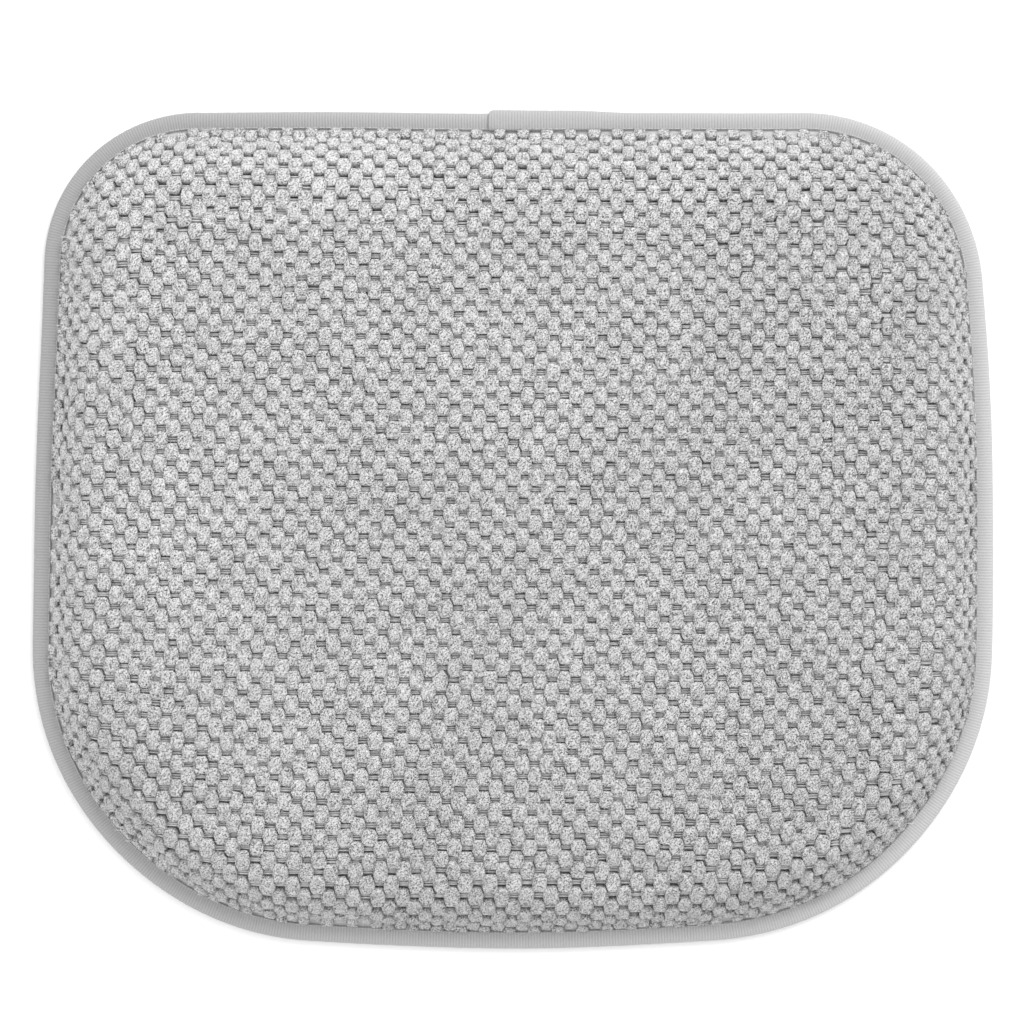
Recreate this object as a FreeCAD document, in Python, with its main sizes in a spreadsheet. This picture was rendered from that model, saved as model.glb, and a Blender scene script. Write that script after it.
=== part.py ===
import FreeCAD, Part
import math
import os
import Sketcher

# A shaped seat pad: a memory foam slab in a chenille cover, closed underneath by a backing cloth
# with grip dots, and bound all round with a folded tape. Millimetres. The origin is the middle of
# the plan on the seat's surface, +X to the sitter's left, +Y to the back of the chair, +Z up.

doc = FreeCAD.newDocument("SeatPad")

# driving dimensions
sizes = doc.addObject("Spreadsheet::Sheet", "Sizes")
cells = [
    ("overall_width", 432.0),        # 17 in across the widest part
    ("overall_depth", 375.0),        # rear edge to the middle of the front edge
    ("widest_station", -30.0),       # the sides are widest here, forward of the middle
    ("rear_corner_radius", 76.0),
    ("side_radius", 2250.0),         # the sides are nearly straight
    ("front_corner_radius", 133.0),
    ("front_radius", 1350.0),
    ("dot_height", 1.5),
    ("dot_radius", 3.5),
    ("dot_edge_round", 0.8),
    ("dot_column_pitch", 36.0),
    ("dot_row_pitch", 18.0),         # every other row is shifted by half a column
    ("dot_margin", 22.0),            # no dot nearer than this to the pad's edge
    ("tape_gauge", 0.6),
    ("tape_leg", 8.0),               # how far the folded tape reaches in, above and below
    ("tape_edge_round", 1.2),
    ("lap_start", -11.0),            # the tape's upper end lies over its lower end from here
    ("lap_length", 36.0),
    ("backing_gauge", 1.0),
    ("flange_gauge", 1.6),           # the cover's flattened rim inside the tape
    ("foam_height", 25.0),           # 1 in
    ("foam_clearance", 0.3),
    ("foam_edge_round", 20.0),
    ("cover_wall", 6.0),             # ground cloth and pile together
    ("cover_edge_round", 26.0),
    ("thread_gauge", 0.3),
    ("thread_width", 0.5),
    ("thread_inset", 7.0),           # seam line, in from the pad's edge
]
for row, (alias, value) in enumerate(cells, start=1):
    sizes.set(f"A{row}", alias)
    sizes.set(f"B{row}", str(value))
    sizes.setAlias(f"B{row}", alias)
doc.recompute()


def size(alias):
    return float(getattr(sizes, alias))


# levels above the seat, each a sum of sheet cells
backingBottom = "Sizes.dot_height"
flangeBottom = f"{backingBottom} + Sizes.backing_gauge"
flangeTop = f"{flangeBottom} + Sizes.flange_gauge"
tapeBottom = f"{backingBottom} - Sizes.tape_gauge"
tapeTop = f"{flangeTop} + Sizes.tape_gauge"
lapBottom = f"{tapeBottom} - Sizes.tape_gauge"
lapTop = f"{tapeTop} + Sizes.tape_gauge"
foamTop = f"{flangeBottom} + Sizes.foam_height"
cavityTop = f"{foamTop} + Sizes.foam_clearance"
coverTop = f"{cavityTop} + Sizes.cover_wall"

# distances in from the pad's edge
insideTape = "Sizes.tape_gauge"
tapeInner = "Sizes.tape_leg"
cavityEdge = "Sizes.tape_leg + Sizes.cover_wall"
foamEdge = f"{cavityEdge} + Sizes.foam_clearance"
threadOuter = "Sizes.thread_inset"
threadInner = "Sizes.thread_inset + Sizes.thread_width"


def worth(expression):
    """The number that an expression of sheet cells comes to."""
    total = 0.0
    for term in expression.replace("- ", "+ -").split("+"):
        name = term.strip()
        sign = -1.0 if name.startswith("-") else 1.0
        total += sign * size(name.lstrip("-").strip().removeprefix("Sizes."))
    return total


def outlineArcs(inset):
    """Centres, radii and angles of the right half of the plan, moved in by inset."""
    wide, deep = size("overall_width") / 2, size("overall_depth") / 2
    rearR, sideR = size("rear_corner_radius"), size("side_radius")
    cornerR, frontR = size("front_corner_radius"), size("front_radius")
    side = FreeCAD.Vector(wide - sideR, size("widest_station"), 0)
    front = FreeCAD.Vector(0, frontR - deep, 0)
    rise = deep - rearR - side.y
    rear = FreeCAD.Vector(side.x + math.sqrt((sideR - rearR) ** 2 - rise ** 2), deep - rearR, 0)
    # the front corner's centre is sideR - cornerR from one centre and frontR - cornerR from the other
    across = front - side
    gap = across.Length
    along = ((sideR - cornerR) ** 2 - (frontR - cornerR) ** 2 + gap ** 2) / (2 * gap)
    off = math.sqrt((sideR - cornerR) ** 2 - along ** 2)
    unit = across / gap
    corner = side + unit * along + FreeCAD.Vector(unit.y, -unit.x, 0) * off
    high = math.atan2(rear.y - side.y, rear.x - side.x)
    low = math.atan2(corner.y - side.y, corner.x - side.x)
    foot = math.atan2(corner.y - front.y, corner.x - front.x)
    return {
        "side": (side, sideR - inset, low, high),
        "rear": (rear, rearR - inset, high, math.pi / 2),
        "corner": (corner, cornerR - inset, foot, low),
        "front": (front, frontR - inset, -math.pi - foot, foot),
    }


def arcOf(centre, radius, start, end):
    circle = Part.Circle(centre, FreeCAD.Vector(0, 0, 1), radius)
    return Part.ArcOfCircle(circle, start, end)


def mirrored(arc):
    """The same arc on the left half."""
    centre, radius, start, end = arc
    return FreeCAD.Vector(-centre.x, centre.y, 0), radius, math.pi - end, math.pi - start


def drive(sketch, dimensions):
    """Adds dimensions, each a kind, what it measures, a first value and the expression it follows."""
    for kind, where, value, expression in dimensions:
        index = sketch.addConstraint(Sketcher.Constraint(kind, *where, value))
        name = f"{kind.lower()}{index}"
        sketch.renameConstraint(index, name)
        sketch.setExpression(f"Constraints.{name}", expression)


def addOutline(sketch, inset):
    """One closed plan outline, inset by an expression: a rear line and seven tangent arcs."""
    arcs = outlineArcs(worth(inset) if inset else 0.0)
    rear, rearR = arcs["rear"][0], arcs["rear"][1]
    rearLine = Part.LineSegment(
        FreeCAD.Vector(rear.x, rear.y + rearR, 0), FreeCAD.Vector(-rear.x, rear.y + rearR, 0)
    )
    first = sketch.GeometryCount
    sketch.addGeometry([
        arcOf(*arcs["side"]),
        arcOf(*arcs["rear"]),
        rearLine,
        arcOf(*mirrored(arcs["rear"])),
        arcOf(*mirrored(arcs["side"])),
        arcOf(*mirrored(arcs["corner"])),
        arcOf(*arcs["front"]),
        arcOf(*arcs["corner"]),
    ], False)
    ring = list(range(first, first + 8))
    side, rearCorner, line, otherRear, otherSide, otherCorner, front, corner = ring
    for here, after in zip(ring, ring[1:] + ring[:1]):
        sketch.addConstraint(Sketcher.Constraint("Tangent", here, 2, after, 1))
    sketch.addConstraint(Sketcher.Constraint("Horizontal", line))
    for right, left in ((side, otherSide), (rearCorner, otherRear), (corner, otherCorner)):
        sketch.addConstraint(Sketcher.Constraint("Equal", right, left))
    sketch.addConstraint(Sketcher.Constraint("Symmetric", side, 3, otherSide, 3, -2))
    sketch.addConstraint(Sketcher.Constraint("PointOnObject", front, 3, -2))

    less = f" - ({inset})" if inset else ""
    drive(sketch, [
        ("Radius", (side,), arcs["side"][1], f"Sizes.side_radius{less}"),
        ("Radius", (rearCorner,), arcs["rear"][1], f"Sizes.rear_corner_radius{less}"),
        ("Radius", (corner,), arcs["corner"][1], f"Sizes.front_corner_radius{less}"),
        ("Radius", (front,), arcs["front"][1], f"Sizes.front_radius{less}"),
        ("DistanceX", (side, 3, -1, 1), -arcs["side"][0].x, "Sizes.side_radius - Sizes.overall_width / 2"),
        ("DistanceY", (side, 3, -1, 1), -arcs["side"][0].y, "-Sizes.widest_station"),
        ("DistanceY", (-1, 1, line, 1), rear.y + rearR, f"Sizes.overall_depth / 2{less}"),
        ("DistanceY", (-1, 1, front, 3), arcs["front"][0].y, "Sizes.front_radius - Sizes.overall_depth / 2"),
    ])


def newBody(label):
    body = doc.addObject("PartDesign::Body", label)
    body.Label = label
    body.Placement = FreeCAD.Placement()
    return body


def newSketch(body, name, level):
    """A sketch on the body's own XY plane, raised to level."""
    plane = next(f for f in body.Origin.OriginFeatures if f.Role == "XY_Plane")
    sketch = body.newObject("Sketcher::SketchObject", f"{body.Name}_{name}")
    sketch.AttachmentSupport = [(plane, "")]
    sketch.MapMode = "FlatFace"
    sketch.setExpression("AttachmentOffset.Base.z", level)
    return sketch


def outlineSketch(body, name, level, *insets):
    sketch = newSketch(body, name, level)
    for inset in insets:
        addOutline(sketch, inset)
    return sketch


def rectangleSketch(body, name, level, left, right, low, high):
    """A rectangle from left to right across and from low to high towards the rear, all expressions."""
    sketch = newSketch(body, name, level)
    x0, x1, y0, y1 = -100.0, 100.0, 50.0, 150.0      # only where the sides start, before they are driven
    corners = [(x0, y0), (x1, y0), (x1, y1), (x0, y1)]
    points = [FreeCAD.Vector(x, y, 0) for x, y in corners]
    sketch.addGeometry([Part.LineSegment(points[i], points[(i + 1) % 4]) for i in range(4)], False)
    for i in range(4):
        sketch.addConstraint(Sketcher.Constraint("Coincident", i, 2, (i + 1) % 4, 1))
        sketch.addConstraint(Sketcher.Constraint("Vertical" if i % 2 else "Horizontal", i))
    drive(sketch, [
        ("DistanceX", (0, 1, -1, 1), -x0, f"-({left})"),
        ("DistanceX", (-1, 1, 1, 1), x1, right),
        ("DistanceY", (-1, 1, 0, 1), y0, low),
        ("DistanceY", (-1, 1, 2, 1), y1, high),
    ])
    return sketch


def pad(body, sketch, length):
    feature = body.newObject("PartDesign::Pad", f"{sketch.Name}_pad")
    feature.Profile = sketch
    feature.setExpression("Length", length)
    doc.recompute()
    return feature


def pocketUp(body, sketch, length):
    """Cuts upwards from the sketch."""
    before = body.Shape.Volume
    feature = body.newObject("PartDesign::Pocket", f"{sketch.Name}_pocket")
    feature.Profile = sketch
    feature.Reversed = True
    feature.setExpression("Length", length)
    doc.recompute()
    if feature.Shape.Volume >= before:
        raise RuntimeError(f"{feature.Name} cut nothing")
    return feature


def fillet(body, base, radius, chosen):
    """Rounds the edges of base that chosen picks."""
    names = [f"Edge{i}" for i, edge in enumerate(base.Shape.Edges, start=1) if chosen(edge)]
    feature = body.newObject("PartDesign::Fillet", f"{base.Name}_fillet")
    feature.Base = (base, names)
    feature.setExpression("Radius", radius)
    doc.recompute()
    return feature


def near(value, target):
    return abs(value - target) < 1e-4


def atLevel(*levels):
    """Picks the level edges at these heights."""
    heights = [worth(level) for level in levels]
    return lambda edge: near(edge.BoundBox.ZLength, 0) and any(
        near(edge.Vertexes[0].Point.z, height) for height in heights
    )


def makeSlab(label, edge, height, edgeRound, top):
    """A slab on the backing, its plan in from the pad's edge and its upper edge rounded."""
    body = newBody(label)
    slab = pad(body, outlineSketch(body, "plan", flangeBottom, edge), height)
    fillet(body, slab, edgeRound, atLevel(top))
    return body


def makeFoamCore():
    """The slab of foam, flat below and rounded along its upper edge."""
    return makeSlab(
        "memory_foam_core", foamEdge, "Sizes.foam_height", "Sizes.foam_edge_round", foamTop
    )


def makeCover():
    """Chenille cover: a domed shell as thick as its pile, with a flat rim that the tape holds."""
    outer = makeSlab(
        "cover_outside", tapeInner, f"{coverTop} - ({flangeBottom})", "Sizes.cover_edge_round", coverTop
    )
    pad(outer, outlineSketch(outer, "rim", flangeBottom, insideTape), "Sizes.flange_gauge")
    hollow = makeSlab(
        "cover_hollow", cavityEdge, f"{cavityTop} - ({flangeBottom})", "Sizes.foam_edge_round", cavityTop
    )
    cover = doc.addObject("Part::Cut", "chenille_cover")
    cover.Label = "chenille_cover"
    cover.Base = outer
    cover.Tool = hollow
    cover.Placement = FreeCAD.Placement()
    doc.recompute()
    return cover


def makeBacking():
    """The flat cloth that closes the cover underneath."""
    body = newBody("non_slip_backing")
    pad(body, outlineSketch(body, "plan", backingBottom, insideTape), "Sizes.backing_gauge")
    return body


def makeBinding():
    """The tape, folded over the rim, with its upper end lapped over its lower one at the back."""
    body = newBody("edge_binding")
    deep = "Sizes.overall_depth / 2"
    lapPlan = rectangleSketch(
        body, "lap", lapBottom, "Sizes.lap_start", "Sizes.lap_start + Sizes.lap_length",
        f"{deep} - 2 * Sizes.tape_leg", f"{deep} + Sizes.tape_gauge",
    )
    lap = pad(body, lapPlan, f"{lapTop} - ({lapBottom})")
    lapY = size("overall_depth") / 2 + size("tape_gauge")
    faces = atLevel(lapBottom, lapTop)
    fillet(body, lap, "Sizes.tape_edge_round + Sizes.tape_gauge",
           lambda edge: faces(edge) and all(near(v.Point.y, lapY) for v in edge.Vertexes))
    band = pad(body, outlineSketch(body, "band", tapeBottom, ""), f"{tapeTop} - ({tapeBottom})")
    sides = atLevel(tapeBottom, tapeTop)
    fillet(body, band, "Sizes.tape_edge_round",
           lambda edge: sides(edge) and not any(insidePlan(v.Point, 0.01) for v in edge.Vertexes))
    # the middle is cut right through, which also trims the lapped end to the tape's width
    pocketUp(body, outlineSketch(body, "middle", "0 mm", tapeInner), f"{lapTop} + Sizes.tape_gauge")
    pocketUp(
        body, outlineSketch(body, "channel", backingBottom, insideTape), f"{flangeTop} - {backingBottom}"
    )
    return body


def makeThread(label, ringBottom, stepBottom, gapBottom):
    """One thread of the lockstitch seam: a ring on the tape, stepped over the lapped end."""
    body = newBody(label)
    deep = "Sizes.overall_depth / 2"
    pad(body, outlineSketch(body, "ring", ringBottom, threadOuter, threadInner), "Sizes.thread_gauge")
    seam = (f"{deep} - ({threadInner})", f"{deep} - ({threadOuter})")
    lapEnd = "Sizes.lap_start + Sizes.lap_length"
    stepPlan = rectangleSketch(
        body, "step", stepBottom, "Sizes.lap_start - Sizes.thread_gauge", f"{lapEnd} + Sizes.thread_gauge",
        *seam,
    )
    pad(body, stepPlan, "Sizes.tape_gauge + Sizes.thread_gauge")
    gapPlan = rectangleSketch(body, "gap", gapBottom, "Sizes.lap_start", lapEnd, *seam)
    pocketUp(body, gapPlan, "Sizes.tape_gauge")
    return body


def insidePlan(point, inset):
    """Whether a point of the plan is at least inset inside the pad's edge."""
    arcs = outlineArcs(inset)
    spot = FreeCAD.Vector(abs(point.x), point.y, 0)
    side, sideR = arcs["side"][0], arcs["side"][1]
    front, frontR = arcs["front"][0], arcs["front"][1]
    within = spot.y <= size("overall_depth") / 2 - inset
    within = within and spot.distanceToPoint(side) <= sideR
    within = within and spot.distanceToPoint(front) <= frontR
    for name in ("rear", "corner"):
        centre, radius, start, end = arcs[name]
        bearing = math.atan2(spot.y - centre.y, spot.x - centre.x)
        if start <= bearing <= end:
            within = within and spot.distanceToPoint(centre) <= radius
    return within


def makeDots():
    """Low rubber buttons in staggered rows, one of them at the origin, as one group of solids."""
    radius, height, edge = size("dot_radius"), size("dot_height"), size("dot_edge_round")
    columnPitch, rowPitch = size("dot_column_pitch"), size("dot_row_pitch")
    button = Part.makeCylinder(radius, height)
    foot = [e for e in button.Edges if len(e.Vertexes) == 1 and near(e.Vertexes[0].Point.z, 0)]
    button = button.makeFillet(edge, foot)
    rows = math.ceil(size("overall_depth") / 2 / rowPitch)
    columns = math.ceil(size("overall_width") / 2 / columnPitch) + 1
    dots = []
    for row in range(-rows, rows + 1):
        shift = columnPitch / 2 if row % 2 else 0.0
        for column in range(-columns, columns + 1):
            spot = FreeCAD.Vector(column * columnPitch + shift, row * rowPitch, 0)
            if insidePlan(spot, size("dot_margin")):
                dot = button.copy()
                dot.translate(spot)
                dots.append(dot)
    group = doc.addObject("Part::Feature", "grip_dots")
    group.Label = "grip_dots"
    group.Shape = Part.makeCompound(dots)
    group.Placement = FreeCAD.Placement()
    return group


subParts = [
    makeBacking(),
    makeDots(),
    makeFoamCore(),
    makeCover(),
    makeBinding(),
    makeThread("needle_thread", tapeTop, tapeTop, tapeTop),
    makeThread("bobbin_thread", f"{tapeBottom} - Sizes.thread_gauge", f"{lapBottom} - Sizes.thread_gauge",
               lapBottom),
]
doc.recompute()

for item in doc.Objects:
    if "Invalid" in item.State or "Error" in item.State:
        raise RuntimeError(f"{item.Name} failed: {item.State}")
for item in subParts:
    if item.Shape.isNull() or not item.Shape.isValid():
        raise RuntimeError(f"{item.Label} has no valid shape")

os.makedirs("parts", exist_ok=True)
for item in subParts:
    item.Shape.exportStep(f"parts/{item.Label}.step")
    box = item.Shape.BoundBox
    print(f"{item.Label}: {len(item.Shape.Solids)} solids, {item.Shape.Volume:.0f} mm3, "
          f"z {box.ZMin:.2f} to {box.ZMax:.2f}, {box.XLength:.1f} by {box.YLength:.1f}")
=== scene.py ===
import bpy
import numpy as np
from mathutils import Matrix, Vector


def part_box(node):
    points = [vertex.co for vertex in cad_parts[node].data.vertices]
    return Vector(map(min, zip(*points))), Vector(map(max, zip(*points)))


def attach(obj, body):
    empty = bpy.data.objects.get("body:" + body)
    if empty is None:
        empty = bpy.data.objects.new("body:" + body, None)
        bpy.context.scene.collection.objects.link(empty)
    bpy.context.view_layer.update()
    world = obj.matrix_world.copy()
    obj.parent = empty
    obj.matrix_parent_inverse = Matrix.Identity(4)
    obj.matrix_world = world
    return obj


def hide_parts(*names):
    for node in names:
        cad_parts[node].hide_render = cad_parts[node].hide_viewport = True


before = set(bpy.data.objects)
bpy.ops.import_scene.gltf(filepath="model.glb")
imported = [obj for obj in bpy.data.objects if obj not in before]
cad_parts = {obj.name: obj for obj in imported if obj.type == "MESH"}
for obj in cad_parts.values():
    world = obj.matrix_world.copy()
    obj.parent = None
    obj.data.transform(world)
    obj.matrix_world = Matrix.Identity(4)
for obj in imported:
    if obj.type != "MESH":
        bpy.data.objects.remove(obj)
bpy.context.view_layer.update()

mm = 0.001
rng = np.random.default_rng(17)
scene = bpy.context.scene
print("chair pad: frame loaded")


outline = {
    "rear": (82.0, 69.5),        # rear corner radius, right then left
    "side": (1350.0, 5500.0),
    "widest": (-2.0, -120.0),    # how far back each side is widest
    "corner": (134.0, 132.0),
    "front": (1406.0, 1294.0),
    "straight": 500000.0,        # the rear edge is an arc too large to see
    "waver": ((0.25, 5, 1.0), (0.18, 11, 2.3)),    # small waves: size, how many, phase
}
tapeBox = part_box("edge_binding")
halfWidth = (tapeBox[1].x - tapeBox[0].x) / 2
halfDepth = -tapeBox[0].y


# Five tangent arcs from the middle of the rear to the middle of the front, as rows of centre x,
# centre y, radius, first and last angle. The front corner's centre is where two circles cross: side
# less corner about the side's centre, front less corner about the front's.
def halfArcs(hand):
    rear, side, corner, front = (outline[k][hand] * mm for k in ("rear", "side", "corner", "front"))
    straight, widest = outline["straight"] * mm, outline["widest"][hand] * mm
    sideC = np.array([halfWidth - side, widest])
    rise = halfDepth - rear - widest
    rearC = np.array([sideC[0] + np.sqrt((side - rear) ** 2 - rise ** 2), halfDepth - rear])
    frontC = np.array([0.0, front - halfDepth])
    gap = frontC - sideC
    span = np.hypot(*gap)
    along = ((side - corner) ** 2 - (front - corner) ** 2 + span ** 2) / (2 * span)
    off = np.sqrt((side - corner) ** 2 - along ** 2)
    cornerC = sideC + gap / span * along + np.array([gap[1], -gap[0]]) / span * off
    up = np.pi / 2
    lean = up - rearC[0] / straight
    high = np.arctan2(*(rearC - sideC)[::-1])
    low = np.arctan2(*(cornerC - sideC)[::-1])
    foot = np.arctan2(*(cornerC - frontC)[::-1])
    return np.array([
        [0.0, halfDepth - straight, straight, up, lean],
        [*rearC, rear, up, high],
        [*sideC, side, high, low],
        [*cornerC, corner, low, foot],
        [*frontC, front, foot, -up],
    ])


right, left = halfArcs(0), halfArcs(1)[::-1]
left = np.c_[-left[:, 0], left[:, 1:3], np.pi - left[:, 4], np.pi - left[:, 3]]
arcs = np.r_[right, left]                              # clockwise from the middle of the rear
arcEnds = np.cumsum(arcs[:, 2] * (arcs[:, 3] - arcs[:, 4]))
girth = arcEnds[-1]


# Point and inward normal at distance s clockwise along the outline: centre plus radius times the
# direction whose angle falls by distance over radius, moved in by two small sine waves.
def outlineAt(s):
    s = np.mod(s, girth)
    k = np.minimum(np.searchsorted(arcEnds, s, side="right"), len(arcs) - 1)
    cx, cy, r, first = arcs[k, 0], arcs[k, 1], arcs[k, 2], arcs[k, 3]
    start = np.r_[0.0, arcEnds][k]
    a = first - (s - start) / r
    out = np.stack([np.cos(a), np.sin(a)], -1)
    turn = 2 * np.pi * s / girth
    ripple = sum(size * np.sin(many * turn + phase) for size, many, phase in outline["waver"]) * mm
    return np.stack([cx, cy], -1) + out * (r - ripple)[..., None], -out


def setNodes(material, build):
    material.use_nodes = True
    nodes, links = material.node_tree.nodes, material.node_tree.links
    shader = nodes["Principled BSDF"]
    build(nodes, links, shader)
    return material


def addNode(nodes, kind, **values):
    node = nodes.new(kind)
    for key, value in values.items():
        if key in node.inputs:
            node.inputs[key].default_value = value
        else:
            setattr(node, key, value)
    return node


# faces is a list of index arrays, one for each number of corners, each of shape (n, corners).
def makePiece(name, verts, faces, material, uv=None, materialIndex=None, more=()):
    mesh = bpy.data.meshes.new(name)
    loops = np.concatenate([f.ravel() for f in faces]).astype(np.int32)
    sizes = np.concatenate([np.full(len(f), f.shape[1]) for f in faces]).astype(np.int32)
    mesh.vertices.add(len(verts))
    mesh.vertices.foreach_set("co", np.ascontiguousarray(verts, np.float32).ravel())
    mesh.loops.add(len(loops))
    mesh.loops.foreach_set("vertex_index", loops)
    mesh.polygons.add(len(sizes))
    mesh.polygons.foreach_set("loop_start", np.r_[0, np.cumsum(sizes)[:-1]].astype(np.int32))
    mesh.polygons.foreach_set("loop_total", sizes)
    for m in (material, *more):
        mesh.materials.append(m)
    if materialIndex is not None:
        mesh.polygons.foreach_set("material_index", materialIndex.astype(np.int32))
    mesh.polygons.foreach_set("use_smooth", np.full(len(sizes), True))
    if uv is not None:
        layer = mesh.uv_layers.new(name="cloth")
        layer.data.foreach_set("uv", uv[loops].astype(np.float32).ravel())
    mesh.update(calc_edges=True)
    mesh.validate()
    piece = bpy.data.objects.new(name, mesh)
    scene.collection.objects.link(piece)
    return piece


# Quads of a grid of rows by columns, joined round its columns if around.
def gridFaces(rows, columns, first=0, around=True, flip=False):
    wide = columns if around else columns - 1
    i, j = np.meshgrid(np.arange(rows - 1), np.arange(wide), indexing="ij")
    k = (j + 1) % columns
    near, far = i * columns, (i + 1) * columns
    quads = np.stack([near + j, near + k, far + k, far + j], -1).reshape(-1, 4) + first
    return quads[:, ::-1] if flip else quads


# Triangles from a closed ring of indices to a pole.
def fanFaces(ring, pole, flip=False):
    fan = np.stack([ring, np.roll(ring, -1), np.full(len(ring), pole)], -1)
    return fan[:, ::-1] if flip else fan


def smoothStep(t):
    t = np.clip(t, 0.0, 1.0)
    return t * t * (3 - 2 * t)


view = {"height": 1.6, "across": 0.4592, "centre": (-0.0004, 0.0082), "sensor": 36.0}
cameraData = bpy.data.cameras.new("camera")
cameraData.sensor_width = view["sensor"]
cameraData.lens = view["sensor"] * view["height"] / view["across"]
camera = bpy.data.objects.new("camera", cameraData)
camera.location = (*view["centre"], view["height"] + tapeBox[1].z)
scene.collection.objects.link(camera)
scene.camera = camera
scene.view_settings.view_transform = "Standard"

studio = {
    "world": 1.0,
    "key": {"power": 24.0, "size": 1.3, "place": (0.85, 1.25, 1.2)},
    "fill": {"power": 5.0, "size": 1.6, "place": (-1.2, -0.1, 1.3)},
}
world = bpy.data.worlds.new("studio")
world.use_nodes = True
world.node_tree.nodes["Background"].inputs["Color"].default_value = (1.0, 1.0, 1.0, 1.0)
world.node_tree.nodes["Background"].inputs["Strength"].default_value = studio["world"]
scene.world = world
for name in ("key", "fill"):
    facts = studio[name]
    lampData = bpy.data.lights.new(name, "AREA")
    lampData.energy, lampData.size = facts["power"], facts["size"]
    lamp = bpy.data.objects.new(name, lampData)
    lamp.location = facts["place"]
    aim = -np.array(facts["place"])
    tilt = np.arccos(-aim[2] / np.linalg.norm(aim))
    lamp.rotation_euler = (tilt, 0.0, np.arctan2(aim[1], aim[0]) - np.pi / 2)
    scene.collection.objects.link(lamp)

floorFacts = {"half": 4.0, "tone": 0.99, "roughness": 0.9}


# Matt and almost white.
def floorNodes(nodes, links, shader):
    tone = floorFacts["tone"]
    shader.inputs["Base Color"].default_value = (tone, tone, tone, 1.0)
    shader.inputs["Roughness"].default_value = floorFacts["roughness"]


floorPaint = setNodes(bpy.data.materials.new("paleFloor"), floorNodes)
floor = makePiece(
    "floor",
    np.array([[-1, -1, 0], [1, -1, 0], [1, 1, 0], [-1, 1, 0]]) * floorFacts["half"],
    [np.array([[0, 1, 2, 3]])], floorPaint,
)
print("chair pad: camera and studio set")


tape = {
    "gauge": 0.6, "leg": 8.0, "nose": 3.7, "bulge": 0.6, "round": 0.9,
    "ribPitch": 1.3, "perRib": 3, "ribHeight": 0.05, "ribNose": 0.09,
    "lapStart": -11.0, "lapLength": 36.0, "fade": 30.0, "lift": 1.6, "under": 0.3, "corner": 2.2,
    # The grooves' darker grey is painted shade.
    "stops": (0.30, 1.00), "greys": (0.31, 0.43), "ribShade": 0.5,    # from the grooves to the ribs
    # Painted light: the tape's tone grows towards +x and the front, standing in for how light falls.
    "paintedLightTones": (1.04, 0.75, -0.364),    # colour factor: in the middle, then growth with x and with y
    "ribRandom": 0.3, "sink": 0.25, "tuck": (0.35, 20.0), "legShare": 0.55,
    "quarter": 7,                # points round each half of the fold
    "nearby": 17.0,              # only tufts this near the rim can reach it
}
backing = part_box("non_slip_backing")
rimTop = tapeBox[1].z - 2 * tape["gauge"] * mm          # under the lapped tape's two layers
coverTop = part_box("chenille_cover")[1].z
dome = {
    "rimInset": 1.5,             # the rim ends just inside the fold of the tape
    "foot": (11.7, 0.6, -0.5),   # wall foot in from the edge: middle, more at the rear, at the right
    "fillet": 2.5,
    "lean": 28.0,                # the wall starts this many degrees round the ellipse, so it slopes
    "roll": (27.0, 6.5),         # how wide the shoulder is: middle value, more at the rear
    "pile": 4.3,                 # tufts stand this far above the cloth
    "crown": 1.5,
    "waves": 0.5,
    "swells": ((41, 23, 0.6), (-17, 29, 1.9), (67, -52, 0.0)),    # turn with x, with y, phase
    "third": 0.5,                # share of the third swell beside the product of the other two
    "cloth": 0.9,                # ground cloth thickness
    "around": 256, "rimRings": 4, "filletRings": 4, "shoulderRings": 16, "topRings": 34,
    "pressure": 4.0, "quality": 5, "frames": 20, "cap": 2.0, "slack": 1.2,
    "fine": 1600,                # outline points searched for the nearest one
}
around = dome["around"]
shoulderTop = coverTop - (dome["pile"] + dome["crown"] + dome["waves"]) * mm
columnAt = np.arange(around) * girth / around


# Wall foot and shoulder width where the outward normal is -inward: each varies as a straight line
# in the normal's two components.
def shoulderSize(inward):
    outX, outY = -inward[..., 0], -inward[..., 1]
    foot = dome["foot"][0] + dome["foot"][1] * outY + dome["foot"][2] * outX
    roll = dome["roll"][0] + dome["roll"][1] * outY
    return foot * mm, roll * mm


# Inset and height from the rim to the end of the shoulder, rings first: a flat rim, a hollow arc at
# the foot that turns up to the wall's slope, and the part of a quarter ellipse past the angle lean.
def bandProfile(foot, roll):
    fillet, lean = dome["fillet"] * mm, np.radians(dome["lean"])
    tall = shoulderTop - rimTop - fillet
    slope = np.arctan2(tall * np.cos(lean) / (1 - np.sin(lean)), roll * np.tan(lean))
    rim = np.linspace(0.0, 1.0, dome["rimRings"], endpoint=False)[:, None]
    turn = np.linspace(0.0, 1.0, dome["filletRings"], endpoint=False)[:, None] * slope
    rise = np.linspace(lean, np.pi / 2, dome["shoulderRings"])[:, None]
    start = dome["rimInset"] * mm
    filletStart = foot - fillet * np.sin(slope)
    wallStart = rimTop + fillet * (1 - np.cos(slope))
    inset = np.concatenate([
        start + (filletStart - start) * rim,
        filletStart + fillet * np.sin(turn),
        foot + roll * (np.cos(lean) - np.cos(rise)) / np.cos(lean),
    ])
    height = np.concatenate([
        np.full((dome["rimRings"], len(foot)), rimTop),
        rimTop + fillet * (1 - np.cos(turn)),
        wallStart + (shoulderTop - wallStart) * (np.sin(rise) - np.sin(lean)) / (1 - np.sin(lean)),
    ])
    return inset, height


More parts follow.
